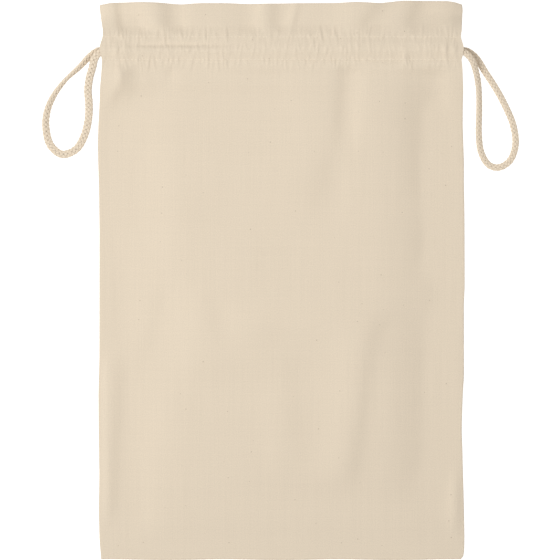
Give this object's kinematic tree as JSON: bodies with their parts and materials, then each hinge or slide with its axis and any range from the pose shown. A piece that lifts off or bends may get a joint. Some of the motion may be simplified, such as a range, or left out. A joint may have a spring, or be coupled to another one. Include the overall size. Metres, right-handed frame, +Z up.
{
  "type": "fabric gift sack",
  "caption": "Flat natural cotton gift sack with a frilled header, a stitched cord channel and braided pull loops at its sides.",
  "frame": {"origin": "under the middle of the sack, on the surface it lies on, measured without the free cord loops", "axes": "+Z up out of the front cloth, +Y towards the mouth, +X to the right seen from above"},
  "size_m": [0.3922, 0.4569, 0.0163],
  "materials": {
    "calico": "matte plain weave, unbleached, with small dark seed flecks",
    "sewing_thread": "matte spun thread",
    "cord_cotton": "matte diamond braid"
  },
  "bodies": {
    "sack": {"front_panel": "calico", "back_panel": "calico", "left_side_seam": "calico", "right_side_seam": "calico", "left_header_seam": "calico", "right_header_seam": "calico", "bottom_seam": "calico", "front_upper_stitching": "sewing_thread", "front_lower_stitching": "sewing_thread", "back_upper_stitching": "sewing_thread", "back_lower_stitching": "sewing_thread"},
    "left_cord": {"left_cord_loop": "cord_cotton", "left_cord_front_run": "cord_cotton", "left_cord_back_run": "cord_cotton"},
    "right_cord": {"right_cord_loop": "cord_cotton", "right_cord_front_run": "cord_cotton", "right_cord_back_run": "cord_cotton", "cord_join": "cord_cotton"}
  },
  "joints": [
    {"name": "left_cord_pull", "type": "slide", "parent": "sack", "child": "left_cord", "axis": [-1, 0, 0], "range_m": [0, 0.12]},
    {"name": "right_cord_pull", "type": "slide", "parent": "sack", "child": "right_cord", "axis": [1, 0, 0], "range_m": [0, 0.12]}
  ]
}
